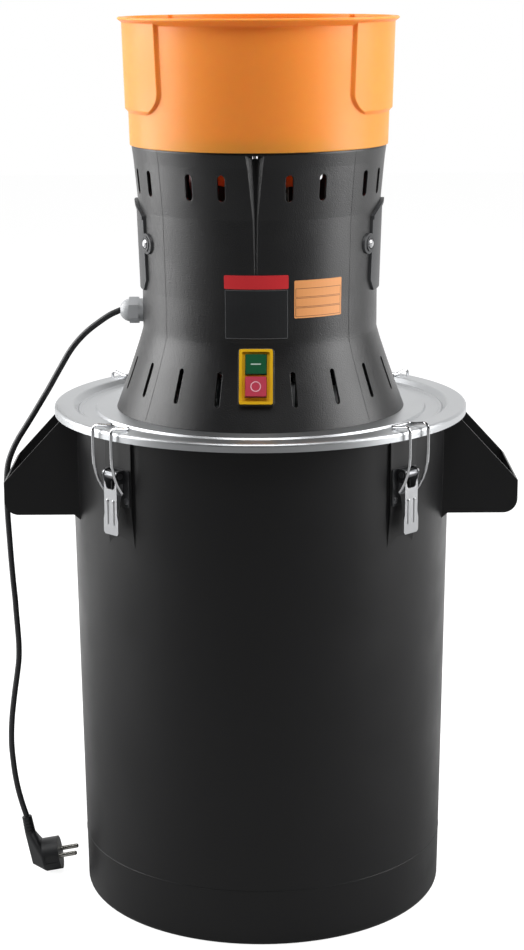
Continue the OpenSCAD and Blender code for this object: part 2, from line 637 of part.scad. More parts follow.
module motor_housing() color("#3a3c3f") in_head() difference() {
    union() {
        difference() {
            union() {
                rotate_extrude() polygon(concat([[0, deck_z]], house_line(0),
                    [[collar_r - 0.6, housing_z], [0, housing_z]]));
                at_switch() translate([0, 0, -12]) linear_extrude(12)
                    rounded(bezel_w + 2, bezel_len + 2, 2.5);
            }
            rotate_extrude() polygon(concat([[0, deck_z - 1], [house_r(deck_z) - housing_wall, deck_z - 1]],
                house_line(-housing_wall), [[0, housing_z - 2]]));
            translate([0, 0, housing_z - ledge_t - 0.1]) cylinder(r = hopper_screw_r - 10, h = 5);
        }
        // ledge under the hopper
        ring(hopper_screw_r - 9.6, collar_r - housing_wall + 0.5, housing_z - ledge_t, housing_z);
        // inner foot ring, sunk in the wall at its upper edge
        ring(foot_r - 23, max(foot_r - 1.5, house_r(deck_z + foot_t) + 0.5) - housing_wall,
            deck_z, deck_z + foot_t);
        // backs of the flutes
        difference() {
            intersection() {
                flutes(2.5);
                rotate_extrude() polygon(concat([[0, deck_z]], house_line(-0.5), [[0, housing_z - 2]]));
            }
            translate([0, 0, housing_z - ledge_t]) cylinder(r = collar_r + 10, h = 20);
        }
    }
    difference() {
        flutes(0);
        translate([0, 0, housing_z - ledge_t]) cylinder(r = collar_r + 10, h = 20);
    }
    vents();
    around(FLUTE_ANGLES) translate([0, -hopper_screw_r, housing_z - ledge_t]) {
        translate([0, 0, -4]) cylinder(r = 3.6, h = 4, $fn = 32);
        translate([0, 0, -1]) cylinder(r = 2.1, h = 20, $fn = 24);
    }
    translate([0, 0, deck_z - 1]) intersection() {
        screw_holes(6, housing_screw_r, 2.1);
        cylinder(r = foot_r, h = foot_t);
    }
    at_switch() translate([0, 0, -20]) linear_extrude(40) square([bezel_w - 3.7, bezel_len - 6.7], center = true);
    at_gland() {
        cylinder(r = 8.1, h = gland_end);
        translate([0, 0, gland_x]) cylinder(r = gland_d / 2 + 0.8, h = 20);
    }
    cover_screw_places(0) translate([0, 0, -12]) cylinder(r = 1.8, h = 30, $fn = 24);
    for (s = [-1, 1]) translate([s * waist_r, 0, brush_z]) cube([40, 44, 52], center = true);
}

module housing_screws() color("#8c9094") in_head() for (i = [0:5])
    rotate([0, 0, 30 + 60 * i]) translate([0, -housing_screw_r, deck_z - lid_t]) {
        translate([0, 0, -2.6]) cylinder(r = 4, h = 2.6, $fn = 32);
        cylinder(r = 2.1, h = lid_t + foot_t - 1.2, $fn = 24);
    }

module cover_outline(d) {
    w = cover_w / 2 - d;
    z0 = cover_z0 + d;
    z1 = cover_z0 + cover_len - d;
    rise = 13;
    r = (w * w + rise * rise) / (2 * rise);
    polygon(concat([[w, z0 + 11]],
        arc([0, z1 - r], r, 90 - asin(w / r), 90 + asin(w / r), 12),
        [[-w, z0 + 11], [-w + 9, z0], [w - 9, z0]]));
    for (s = [-1, 1]) translate([s * boss_r * sin(boss_at), cover_screw_z]) circle(cover_boss_r - d, $fn = 48);
}

module cover_skin(d0, d1) rotate_extrude() polygon([
    for (z = [cover_z0 - 2, belly_z, shoulder_z, cover_z0 + cover_len + 2]) [house_r(z) + d0, z],
    for (z = [cover_z0 + cover_len + 2, shoulder_z, belly_z, cover_z0 - 2]) [house_r(z) + d1, z]]);

module brush_cover(s) color("#34363a") in_head() difference() {
    union() {
        intersection() {
            cover_skin(0.05, cover_t);
            rotate([90, 0, 90]) translate([0, 0, s > 0 ? 0 : -200]) linear_extrude(200) cover_outline(0);
        }
        // raised upper edge
        intersection() {
            cover_skin(1, cover_t + cover_edge);
            rotate([90, 0, 90]) translate([0, 0, s > 0 ? 0 : -200]) linear_extrude(200) difference() {
                cover_outline(0);
                translate([0, -3.5]) cover_outline(0);
                translate([0, cover_screw_z - 60]) square([2 * cover_w, 140], center = true);
            }
        }
        intersection() {
            cover_skin(0.05, 12);
            cover_screw_places(s) translate([0, 0, -8]) cylinder(r = cover_boss_r - 2.5, h = 8, $fn = 48);
        }
    }
    cover_screw_places(s) {
        translate([0, 0, -12]) cylinder(r = 1.8, h = 24, $fn = 24);
        translate([0, 0, -0.7]) cylinder(r = 5.3, h = 20, $fn = 32);
    }
}

module brush_cover_screws() color("#b4b7ba") in_head() cover_screw_places(0) {
    translate([0, 0, -12]) cylinder(r = 1.8, h = 12, $fn = 24);
    translate([0, 0, -0.7]) cylinder(r1 = 4.4, r2 = 4.2, h = 1, $fn = 32);
    translate([0, 0, 0.3]) cylinder(r1 = 4.2, r2 = 2.4, h = 1.3, $fn = 32);
}

module sector(r1, r2, half, at = 90) polygon(concat(arc([0, 0], r2, at - half, at + half, 14),
    arc([0, 0], r1, at + half, at - half, 14)));

// The side panels' solid: outline in (y, z), reaching from the axis to the radius of the wall plus d.
module panels(d, inset) intersection() {
    z0 = housing_z + panel_h + inset;
    z1 = hopper_z + (inset > 0 ? 1 : -3.5);
    rotate_extrude() polygon([[60, z0], [hop_r(z0) + d - panel_out, z0], [hop_r(z0) + d, z0 + 3.5],
        [hop_r(z1) + d, z1], [60, z1]]);
    rotate([90, 0, 90]) translate([0, 0, -180]) linear_extrude(360) {
        w = panel_w - 2 * inset;
        c = panel_round;
        translate([-w / 2, z0 + c]) square([w, 200]);
        translate([-w / 2 + c, z0]) square([w - 2 * c, 100]);
        for (s = [-1, 1]) translate([s * (w / 2 - c), z0 + c]) circle(c, $fn = 64);
    }
}

module hopper() color("#e0733a") in_head() difference() {
    ft = throat_z + gate_t;
    zt = hopper_z;
    lip_out = hop_r(zt) + panel_out + rim_lip;
    union() {
        rotate_extrude() polygon([[0, throat_z], [throat_r + 1.5, throat_z],
            [hop_r(cone_z) - hopper_wall, cone_z - 3.6], [hop_r(cone_z) - hopper_wall, housing_z + 3],
            [hopper_screw_r - 7, housing_z + 3], [hopper_screw_r - 7, housing_z], [hopper_r, housing_z],
            [hop_r(zt - 7), zt - 7], [lip_out - 0.8, zt - 2.6], [lip_out, zt - 1.8], [lip_out, zt - 0.8],
            [lip_out - 0.8, zt], [0, zt]]);
        panels(panel_out, 0);
        around(FLUTE_ANGLES) translate([0, -hopper_screw_r, housing_z]) cylinder(r = 4.5, h = 6, $fn = 32);
    }
    rotate_extrude() polygon([[0, ft], [throat_r, ft], [hop_r(cone_z) - hopper_wall, cone_z],
        [hop_r(zt + 1) - hopper_wall, zt + 1], [0, zt + 1]]);
    panels(panel_out - hopper_wall, hopper_wall);
    translate([0, 0, throat_z - 1]) {
        linear_extrude(gate_t + 2) sector(outlet_in, outlet_out, gate_half);
        cylinder(r = spindle_r + fit, h = gate_t + 2, $fn = 48);
    }
    around(FLUTE_ANGLES) translate([0, -hopper_screw_r, housing_z - 1]) cylinder(r = 1.8, h = 6, $fn = 24);
}

module hopper_screws() color("#b0b3b6") in_head() around(FLUTE_ANGLES)
    translate([0, -hopper_screw_r, housing_z - ledge_t]) {
        translate([0, 0, -2.4]) cylinder(r = 3.2, h = 2.4, $fn = 32);
        cylinder(r = 1.8, h = ledge_t + 4.6, $fn = 24);
    }

module feed_gate() color("#2e3033") in_head() translate([0, 0, throat_z]) {
    difference() {
        translate([0, 0, gate_t + 0.05]) cylinder(r = throat_r - 2.5, h = gate_t);
        translate([0, 0, gate_t - 1]) linear_extrude(gate_t + 4)
            sector(outlet_in, outlet_out, gate_half + 1, -30);
    }
    translate([0, 0, gate_t]) cylinder(r1 = 11, r2 = 9, h = gate_t + knob_h);
    translate([-28, -2.5, gate_t + 1]) cube([56, 5, gate_t + knob_h - 3]);
    translate([0, 0, -5]) cylinder(r = spindle_r, h = 12, $fn = 48);
}

module gate_clip() color("#8c9094") in_head() difference() {
    translate([0, 0, throat_z - 2.2]) cylinder(r = spindle_r + 2.5, h = 1.8, $fn = 48);
    translate([0, 0, throat_z - 5]) cylinder(r = spindle_r, h = 10, $fn = 48);
}

module feed_chute() color("#d8d6d0") in_head() difference() {
    chute_block(chute_w + 2 * chute_wall, chute_wall);
    chute_block(chute_w, 0);
}

module switch_bezel() color("#e8c62c") in_head() at_switch() difference() {
    linear_extrude(bezel_t) rounded(bezel_w, bezel_len, 2);
    translate([0, 0, 2.5]) linear_extrude(bezel_t) rounded(bezel_w - 2 * bezel_rim, bezel_len - 2 * bezel_rim + 0.8, 1);
    for (y = [start_y, stop_y]) translate([0, y, 0])
        cube([button_w + 0.6, button_len + 0.6, 20], center = true);
}

module switch_body() color("#1f2022") in_head() at_switch() {
    difference() {
        translate([0, 0, -36]) linear_extrude(36) square([bezel_w - 4, bezel_len - 7], center = true);
        for (y = [start_y, stop_y]) translate([0, y, -5 - button_travel]) {
            translate([0, 0, 10]) cube([button_w + 2 * fit, button_len + 2 * fit, 20], center = true);
            translate([0, 0, 2.5 + 10]) cube([well_w + 2 * fit, button_len + 2 * fit, 20], center = true);
        }
    }
    for (x = [-8, 8], y = [-14, 0, 14]) translate([x, y, -41]) cube([6.3, 0.8, 10.4], center = true);
}

module button(y, top) translate([0, y, 0]) {
    translate([0, 0, -5]) linear_extrude(top + 4) rounded(button_w, button_len, 1);
    translate([0, 0, top - 1]) linear_extrude(1) rounded(button_w - 1, button_len - 1, 1);
    translate([0, 0, -2.5]) linear_extrude(2.45) square([well_w, button_len - 1], center = true);
}

module start_button() color("#2f9e58") in_head() at_switch() button(start_y, 5.6);

module stop_button() color("#d8485a") in_head() at_switch() button(stop_y, 8);

module gland_body() color("#b9bcbe") in_head() at_gland() difference() {
    union() {
        translate([0, 0, waist_r - housing_wall - 12]) cylinder(r = 8, h = gland_end - 10 - waist_r + housing_wall + 12);
        translate([0, 0, gland_x]) cylinder(r = gland_d / 2, h = 5);
    }
    cylinder(r = cord_r + 0.1, h = 200, $fn = 48);
}

module gland_nut() color("#c2c5c7") in_head() at_gland() difference() {
    union() {
        translate([0, 0, gland_x + 5]) cylinder(r = gland_d / 2 / cos(30), h = 9.8, $fn = 6);
        intersection() {
            translate([0, 0, gland_end - 10]) sphere(11.5);
            translate([0, 0, gland_x + 14.8]) cylinder(r = 20, h = gland_end - gland_x - 14.8);
        }
    }
    translate([0, 0, gland_x]) cylinder(r = 8, h = gland_end - gland_x - 10);
    cylinder(r = cord_r + 0.1, h = 200, $fn = 48);
}

module gland_locknut() color("#c2c5c7") in_head() at_gland() difference() {
    x = sqrt(pow(waist_r - housing_wall, 2) - 11.6 * 11.6) - 0.05;
    translate([0, 0, x - 4]) cylinder(r = 11.5, h = 4, $fn = 6);
    translate([0, 0, x - 5]) cylinder(r = 8, h = 6);
}

module power_cord() color("#232527") tube(
    concat([turn([-gland_end, 0, gland_z], head_turn)], CORD_ROUTE, [plug_point([-10, 0, 46.2])]),
    cord_r, turn([-1, 0, 0], head_turn), plug_point([0, 0, -1]) - plug_point([0, 0, 0]));

module at_plug() translate(PLUG_AT) rotate([0, -plug_tilt, 0]) children();

module plug_body() color("#1d1f21") at_plug() {
    difference() {
        rotate([0, 90, 0]) cylinder(r = 17.5, h = 17);
        for (s = [-1, 1]) translate([8.5, s * 17.5, 0]) cube([14, 2.4, 9], center = true);
    }
    hull() {
        translate([-1, 0, 0]) rotate([0, 90, 0]) cylinder(r = 17, h = 1, $fn = 32);
        translate([-14, 0, -4]) rotate([0, 90, 0]) cylinder(r = 4, h = 2, $fn = 32);
        translate([-10, 0, 27]) cylinder(r = 5.6, h = 1, $fn = 32);
    }
    translate([-10, 0, 27]) cylinder(r = 4.6, h = 19.2, $fn = 32);
    for (i = [0:4]) translate([-10, 0, 28 + 3.8 * i]) cylinder(r = 5.6 - 0.1 * i, h = 2.6, $fn = 32);
}

module plug_pins() color("#c4c6c8") at_plug() for (s = [-1, 1]) translate([17, s * 9.5, 0]) rotate([0, 90, 0]) {
    cylinder(r = 2.4, h = 17, $fn = 32);
    translate([0, 0, 17]) cylinder(r1 = 2.4, r2 = 1.4, h = 1.5, $fn = 32);
}

module bolt_ring(r, z0, z1, at) for (a = [45:90:315])
    rotate([0, 0, a]) translate([0, -at, z0]) cylinder(r = r, h = z1 - z0, $fn = 24);

module lower_bracket() color("#b5b9bc") in_head() difference() {
    union() {
        translate([0, 0, deck_z]) cylinder(r = bracket_r, h = 6);
        translate([0, 0, deck_z - 3]) cylinder(r = spigot_r, h = 4);
        translate([0, 0, deck_z]) cylinder(r = bearing_r + 6, h = lower_bearing_z + bearing_h - deck_z + 1);
        bolt_ring(4, deck_z, stator_z, pillar_r);
        ring(stator_r - 8, bracket_r, stator_z - 5, stator_z);
    }
    translate([0, 0, deck_z - 5]) cylinder(r = shaft_r + 1, h = 40);
    translate([0, 0, lower_bearing_z]) cylinder(r = bearing_r, h = 40);
    bolt_ring(2, stator_z - 14, stator_z + 1, stator_r - 3.6);
    bolt_ring(3, deck_z - 1, deck_z + 4.6, bracket_r - 8);
}

module bracket_bolts() color("#8c9094") in_head() {
    bolt_ring(3, deck_z - lid_t, deck_z + 4.6, bracket_r - 8);
    bolt_ring(5, deck_z - lid_t - 3.5, deck_z - lid_t, bracket_r - 8);
}

module stator_core() color("#6d7276") in_head() difference() {
    union() {
        ring(stator_r - 8, stator_r, stator_z, stator_top);
        translate([0, 0, stator_z]) linear_extrude(stator_h) for (a = [90, 270]) {
            sector(bore_r, bore_r + 5.8, 56, a);
            rotate(a) translate([bore_r + 3, -pole_w / 2]) square([stator_r - bore_r - 7, pole_w]);
        }
    }
    translate([0, 0, stator_z - 1]) cylinder(r = bore_r, h = stator_h + 2);
    bolt_ring(2, stator_z - 1, stator_top + 1, stator_r - 3.6);
}

module field_coils() color("#b5622f") in_head() for (a = [90, 270]) rotate([0, 0, a])
    translate([bore_r + 6, 0, stator_z - coil_end]) difference() {
        translate([0, -coil_w / 2, 0])
            cube([sqrt(pow(stator_r - 8, 2) - pow(coil_w / 2, 2)) - bore_r - 6.2, coil_w, stator_h + 2 * coil_end]);
        translate([-1, -pole_w / 2 - 0.1, coil_end - 0.1]) cube([stator_r, pole_w + 0.2, stator_h + 0.2]);
    }

module stator_bolts() color("#9a9ea2") in_head() {
    bolt_ring(2, stator_z - 14, stator_top + 6.05, stator_r - 3.6);
    bolt_ring(3.8, stator_top + 6, stator_top + 8.5, stator_r - 3.6);
}

module upper_bracket() color("#b5b9bc") in_head() difference() {
    z1 = upper_bearing_z + bearing_h + 2;
    union() {
        ring(stator_r - 8, stator_r + 2, stator_top, stator_top + 6);
        translate([0, 0, upper_bearing_z - 2]) cylinder(r = bearing_r + 3, h = z1 - upper_bearing_z + 2);
        for (s = [-1, 1]) {
            translate([s * (stator_r - 4) - 4, -pole_w / 2, stator_top]) cube([8, pole_w, z1 - stator_top]);
            translate([s * stator_r / 2 - stator_r / 2, -pole_w / 2, z1 - 9]) cube([stator_r, pole_w, 9]);
        }
    }
    translate([0, 0, stator_top]) cylinder(r = shaft_r + 1, h = 100);
    translate([0, 0, upper_bearing_z - bearing_h]) cylinder(r = bearing_r, h = 2 * bearing_h);
    bolt_ring(2, stator_top - 1, stator_top + 7, stator_r - 3.6);
    translate([0, 0, brush_z]) cube([4 * stator_r, holder_w, holder_t], center = true);
}

module bearing(z) difference() {
    union() {
        translate([0, 0, z]) cylinder(r = bearing_r, h = bearing_h);
    }
    translate([0, 0, z - 1]) cylinder(r = shaft_r + fit, h = bearing_h + 2);
    for (e = [z - 1, z + bearing_h - 1.5]) ring(shaft_r + 2.5, bearing_r - 2, e, e + 2.5);
}

module lower_bearing() color("#a9adb1") in_head() bearing(lower_bearing_z);

module upper_bearing() color("#a9adb1") in_head() bearing(upper_bearing_z);

module brush_holders() color("#c79a45") in_head() translate([0, 0, brush_z]) for (s = [-1, 1]) difference() {
    translate([s * (stator_r + commutator_r + 3) / 2, 0, 0])
        cube([stator_r - commutator_r - 3 + 6, holder_w, holder_t], center = true);
    translate([s * (commutator_r + stator_r - 4) / 2, 0, 0])
        cube([stator_r - commutator_r - 1, brush_w + 2 * fit, brush_t + 2 * fit], center = true);
}

module carbon_brushes() color("#2b2b2d") in_head() translate([0, 0, brush_z]) for (s = [-1, 1]) difference() {
    translate([s * (commutator_r + brush_len / 2), 0, 0]) cube([brush_len, brush_w, brush_t], center = true);
    cylinder(r = commutator_r + fit, h = 2 * brush_t, center = true);
}

module capacitor() color("#7c2422") in_head() rotate([0, 0, -142])
    translate([0, -(house_r(capacitor_z) - housing_wall - capacitor_r - 0.3), capacitor_z]) {
        cylinder(r = capacitor_r, h = capacitor_len, $fn = 48);
        translate([0, 0, capacitor_len]) cylinder(r = capacitor_r - 2, h = 1.5, $fn = 48);
    }

module inner_leads() color("#5a5d60") in_head() {
    s0 = waist_r - housing_wall - 16;
    y0 = -switch_r + 24;
    z0 = switch_z - 9;
    tube([[-gland_end, 0, gland_z], [-gland_x, 0, gland_z], [-s0, 0, gland_z], [-s0 + 12, -10, gland_z - 4],
        [-s0 + 14, -0.3 * waist_r, gland_z - 14], [-s0 + 26, -60, gland_z - 28], [-50, -88, z0 + 10],
        [-32, y0, z0 + 2], [-bezel_w / 2 + 2, y0, z0]], cord_r, [1, 0, 0], [1, 0, 0]);
    tube([[bezel_w / 2 - 2, y0, z0], [bezel_w / 2 + 18, y0 + 2, z0 + 6], [48, -88, z0 + 30], [50, -82, stator_top - 20],
        [40, -74, stator_top + 8], [26, -64, stator_top + 17], [15, -52, stator_top + 17],
        [10, -(bore_r + 10), stator_top + 12], [10, -(bore_r + 10), stator_top + 10]],
        2, [1, 0, 0], [0, 0, -1], 8);
}

module motor_shaft() color("#aab0b5") in_head() {
    translate([0, 0, blade_z + blade_t]) cylinder(r = shaft_r, h = shaft_top - blade_z - blade_t);
    translate([0, 0, blade_z - nut_h - 5]) cylinder(r = shaft_r - 1.5, h = nut_h + blade_t + 8);
}

module armature_core() color("#6d7276") in_head() difference() {
    translate([0, 0, stator_z + 2]) cylinder(r = armature_r, h = stator_h - 4);
    translate([0, 0, stator_z]) cylinder(r = shaft_r, h = stator_h);
    for (a = [0:30:330]) rotate([0, 0, a]) translate([armature_r - 9, -2, stator_z]) cube([20, 4, stator_h]);
}

module armature_windings() color("#b5622f") in_head() {
    for (z = [stator_z + 2 - coil_end, stator_top - 2]) ring(shaft_r, armature_r - 4, z, z + coil_end);
    for (a = [0:30:330]) rotate([0, 0, a])
        translate([armature_r - 9, -2, stator_z]) cube([8, 4, stator_h]);
}

module commutator() color("#b87333") in_head() difference() {
    z0 = brush_z - commutator_len / 2;
    translate([0, 0, z0]) cylinder(r = commutator_r, h = commutator_len);
    translate([0, 0, z0 - 1]) cylinder(r = shaft_r, h = commutator_len + 2);
    for (a = [0:15:165]) rotate([0, 0, a]) difference() {
        translate([-2 * commutator_r, -0.3, z0 - 1]) cube([4 * commutator_r, 0.6, commutator_len - 4]);
        translate([0, 0, z0 - 2]) cylinder(r = commutator_r - 1.2, h = commutator_len);
    }
}

module cooling_fan() color("#2c2e31") in_head() difference() {
    union() {
        translate([0, 0, lower_bearing_z + bearing_h + 6]) {
            cylinder(r = fan_r, h = 2);
            cylinder(r = shaft_r + 5, h = fan_h);
            for (a = [0:40:320]) rotate([0, 0, a]) translate([shaft_r + 3, -1, 0]) cube([fan_r - shaft_r - 5, 2, fan_h]);
        }
    }
    translate([0, 0, deck_z]) cylinder(r = shaft_r, h = 100);
}

module grinding_blade() color("#c9cdd0") in_head() translate([0, 0, blade_z]) difference() {
    linear_extrude(blade_t) union() {
        circle(blade_hub_r);
        for (a = [0, 180]) rotate(a) polygon([[0, -blade_root], [blade_r - blade_slant, -blade_neck],
            [blade_r - 1, -4], [blade_r - 1, 9], [0, blade_root]]);
    }
    translate([0, 0, -1]) cylinder(r = shaft_r - 1.5, h = 10);
    // ground edges
    for (a = [0, 180]) rotate([0, 0, a]) translate([25, 9.5, blade_t]) rotate([-30, 0, 0]) cube([90, 20, 10]);
}

module blade_nut() color("#9a9ea2") in_head() difference() {
    translate([0, 0, blade_z - nut_h]) cylinder(r = 12, h = nut_h, $fn = 6);
    translate([0, 0, blade_z - nut_h - 1]) cylinder(r = shaft_r - 1.5, h = nut_h + 2);
}

module sieve() color("#b8bcc0") in_head() difference() {
    ring(sieve_r, sieve_r + sieve_t, sieve_z, sieve_z + sieve_h);
    for (a = [0:7.5:172.5]) rotate([0, 0, a]) translate([-150, -1.5, sieve_z + 6])
        cube([300, 3, sieve_h - 12]);
}

module sieve_plate() color("#aeb2b6") in_head() difference() {
    translate([0, 0, sieve_z - sieve_t]) cylinder(r = stud_r + 7, h = sieve_t);
    translate([0, 0, sieve_z]) screw_holes(3, stud_r, 3, 0);
}

module chamber_studs() color("#8c9094") in_head() for (a = [0, 120, 240]) rotate([0, 0, a])
    translate([0, -stud_r, sieve_z - 12]) {
        cylinder(r = 3, h = sieve_h + 12 + lid_t, $fn = 32);
        translate([0, 0, sieve_h + 12 + lid_t]) cylinder(r = 5, h = 2, $fn = 32);
    }

module wing_nuts() color("#b0b3b6") in_head() for (a = [0, 120, 240]) rotate([0, 0, a])
    translate([0, -stud_r, sieve_z - sieve_t - 8]) difference() {
        union() {
            cylinder(r1 = 4.5, r2 = 6, h = 8, $fn = 32);
            translate([-13, -1.2, 0]) cube([26, 2.4, 6]);
        }
        translate([0, 0, -1]) cylinder(r = 3, h = 20, $fn = 32);
    }

bucket();
lid();
lid_gasket();
latch_bracket(0);  // latch_bracket_front_left
latch_bracket(1);  // latch_bracket_front_right
latch_bracket(2);  // latch_bracket_rear_right
latch_bracket(3);  // latch_bracket_rear_left
latch_lever(0);  // latch_lever_front_left
latch_lever(1);  // latch_lever_front_right
latch_lever(2);  // latch_lever_rear_right
latch_lever(3);  // latch_lever_rear_left
latch_bail(0);  // latch_bail_front_left
latch_bail(1);  // latch_bail_front_right
latch_bail(2);  // latch_bail_rear_right
latch_bail(3);  // latch_bail_rear_left
latch_pins();
latch_rivets();
motor_housing();
housing_screws();
hopper();
hopper_screws();
feed_gate();
gate_clip();
feed_chute();
brush_cover(-1);  // brush_cover_left
brush_cover(1);  // brush_cover_right
brush_cover_screws();
switch_bezel();
switch_body();
start_button();
stop_button();
gland_body();
gland_nut();
gland_locknut();
power_cord();
plug_body();
plug_pins();
stator_core();
field_coils();
stator_bolts();
lower_bracket();
bracket_bolts();
upper_bracket();
lower_bearing();
upper_bearing();
brush_holders();
carbon_brushes();
capacitor();
inner_leads();
motor_shaft();
armature_core();
armature_windings();
commutator();
cooling_fan();
grinding_blade();
blade_nut();
sieve();
sieve_plate();
chamber_studs();
wing_nuts();
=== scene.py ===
"""Electric grain mill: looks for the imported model. Metres, +Z up, the switch faces -Y."""
import json
import math

import bmesh
import bpy
from mathutils import Matrix, Vector


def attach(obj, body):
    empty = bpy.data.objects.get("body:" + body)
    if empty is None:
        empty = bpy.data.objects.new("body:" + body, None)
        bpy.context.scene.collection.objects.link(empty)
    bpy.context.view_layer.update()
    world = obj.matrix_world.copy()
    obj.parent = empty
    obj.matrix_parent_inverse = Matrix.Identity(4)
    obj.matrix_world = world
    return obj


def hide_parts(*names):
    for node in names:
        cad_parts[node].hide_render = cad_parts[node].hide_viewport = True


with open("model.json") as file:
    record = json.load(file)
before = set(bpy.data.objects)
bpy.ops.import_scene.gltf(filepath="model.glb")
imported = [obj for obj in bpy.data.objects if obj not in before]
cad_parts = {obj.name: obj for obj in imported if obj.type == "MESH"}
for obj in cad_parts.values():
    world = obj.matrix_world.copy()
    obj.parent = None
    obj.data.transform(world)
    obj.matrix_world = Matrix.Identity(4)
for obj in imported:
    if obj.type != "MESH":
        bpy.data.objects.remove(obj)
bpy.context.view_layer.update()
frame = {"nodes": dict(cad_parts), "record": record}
scene = bpy.context.scene
MM = 0.001

# ---------------------------------------------------------------- camera
FOCAL_PX, DISTANCE, EYE = 2092.05, 2.0683, 0.9248
PITCH, YAW, ROLL = 0.2346, 0.0006, -0.0053
SENSOR, IMAGE_H = 36, 950


def camera():
    right = Vector((math.cos(YAW), -math.sin(YAW), 0))
    ahead = Vector((math.sin(YAW), math.cos(YAW), 0))
    forward = ahead * math.cos(PITCH) - Vector((0, 0, math.sin(PITCH)))
    up = ahead * math.sin(PITCH) + Vector((0, 0, math.cos(PITCH)))
    x = right * math.cos(ROLL) + up * math.sin(ROLL)
    y = up * math.cos(ROLL) - right * math.sin(ROLL)
    data = bpy.data.cameras.new("camera")
    data.sensor_fit = "VERTICAL"
    data.sensor_height = SENSOR
    data.lens = FOCAL_PX / IMAGE_H * SENSOR
    data.clip_end = 50
    cam = bpy.data.objects.new("camera", data)
    m = Matrix((x, y, -forward)).transposed().to_4x4()
    m.translation = (0, -DISTANCE, EYE)
    cam.matrix_world = m
    scene.collection.objects.link(cam)
    scene.camera = cam


camera()

# ---------------------------------------------------------------- sizes shared with the solids
HEAD_TURN = math.radians(-1.8)
DECK, WAIST, FOOT, COLLAR = 0.505, 0.1163, 0.144, 0.1249
FLARE_H = 0.08
UPPER = ((0.625, 0), (0.702, 0.27), (0.7505, 0.78), (0.765, 1))
SWITCH_Z, BEZEL_OUT = 0.5555, 0.0009


def house_r(z):
    if z < DECK + FLARE_H:
        return WAIST + (FOOT - WAIST) * max(0.0, 1 - (z - DECK) / FLARE_H) ** 1.1
    share = 0 if z < UPPER[0][0] else 1
    for (z0, a), (z1, b) in zip(UPPER, UPPER[1:]):
        if z0 <= z < z1:
            share = a + (b - a) * (z - z0) / (z1 - z0)
    return WAIST + (COLLAR - WAIST) * share


def in_head(p):
    c, s = math.cos(HEAD_TURN), math.sin(HEAD_TURN)
    return Vector((p[0] * c - p[1] * s, p[0] * s + p[1] * c, p[2]))


def on_housing(angle, z, out=0.0):
    """A point on the housing, its angle counted in degrees from the front."""
    a = math.radians(angle)
    r = house_r(z) + out
    return in_head((r * math.sin(a), -r * math.cos(a), z))


# ---------------------------------------------------------------- materials
# how far red, green and blue light reach in a wall that glows
GLOW_REACH = (0.012, 0.0065, 0.0012)
GRAIN_DEPTH = 0.0003
COAT_ROUGH = 0.15


def srgb(r, g, b):
    def one(v):
        v /= 255
        return v / 12.92 if v <= 0.04045 else ((v + 0.055) / 1.055) ** 2.4
    return (one(r), one(g), one(b), 1)


def math_node(nodes, link, operation, first, second=None):
    """A Math node of an output and an output or number."""
    node = nodes.new("ShaderNodeMath")
    node.operation = operation
    for socket, value in zip(node.inputs, (first, second)):
        if isinstance(value, bpy.types.NodeSocket):
            link(value, socket)
        elif value is not None:
            socket.default_value = value
    return node.outputs[0]


def rounded(nodes, link, place, edge, crease):
    """A normal that rounds the edges by the radius edge, and a crease at a height by one of its own."""
    bevel = nodes.new("ShaderNodeBevel")
    bevel.samples = 6
    bevel.inputs["Radius"].default_value = edge
    if crease:
        height, radius, clear = crease
        split = nodes.new("ShaderNodeSeparateXYZ")
        link(place.outputs["Object"], split.inputs["Vector"])
        above = math_node(nodes, link, "SUBTRACT", split.outputs["Z"], height)
        far = math_node(nodes, link, "ABSOLUTE", above)
        aside = math_node(nodes, link, "ABSOLUTE", split.outputs["X"])
        inside = math_node(nodes, link, "SUBTRACT", clear, aside)
        far = math_node(nodes, link, "MAXIMUM", far, inside)
        reach = nodes.new("ShaderNodeMapRange")
        reach.interpolation_type = "SMOOTHSTEP"
        reach.inputs["From Min"].default_value = radius * 0.6
        reach.inputs["From Max"].default_value = radius * 1.6
        reach.inputs["To Min"].default_value = radius
        reach.inputs["To Max"].default_value = edge
        link(far, reach.inputs["Value"])
        link(reach.outputs["Result"], bevel.inputs["Radius"])
    return bevel.outputs["Normal"]


